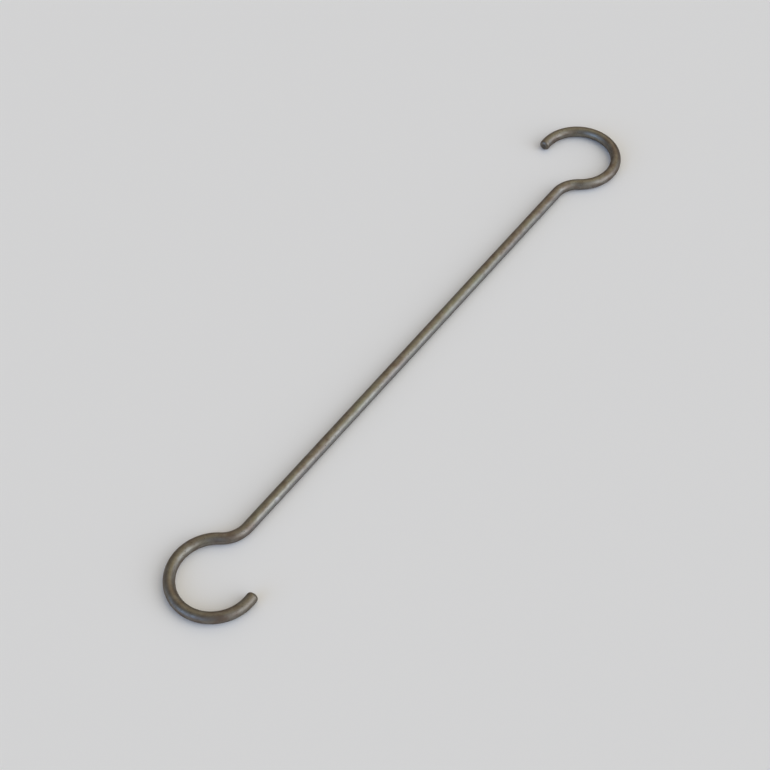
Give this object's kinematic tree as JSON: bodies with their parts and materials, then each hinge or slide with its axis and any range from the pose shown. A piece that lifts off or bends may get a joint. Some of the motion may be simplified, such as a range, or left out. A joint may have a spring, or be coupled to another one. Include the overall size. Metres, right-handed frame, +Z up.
{
  "type": "s hook",
  "caption": "Long S hook bent from round steel wire: a straight shank with a reverse elbow and an open round eye at each end, facing opposite sides, to hang things from a rod or ring.",
  "frame": {"origin": "middle of the hook's box at its base, which is under the middle of the shank, where the wire rests", "axes": "+X along the shank, +Z up out of the plane of the bends, +Y to the side on which the +X eye opens"},
  "size_m": [0.3058, 0.047, 0.0048],
  "materials": {
    "steel_wire": "drawn steel wire, satin, warm dark grey-brown from oxide and oil"
  },
  "bodies": {
    "root": {"s_hook": "steel_wire"}
  },
  "joints": []
}
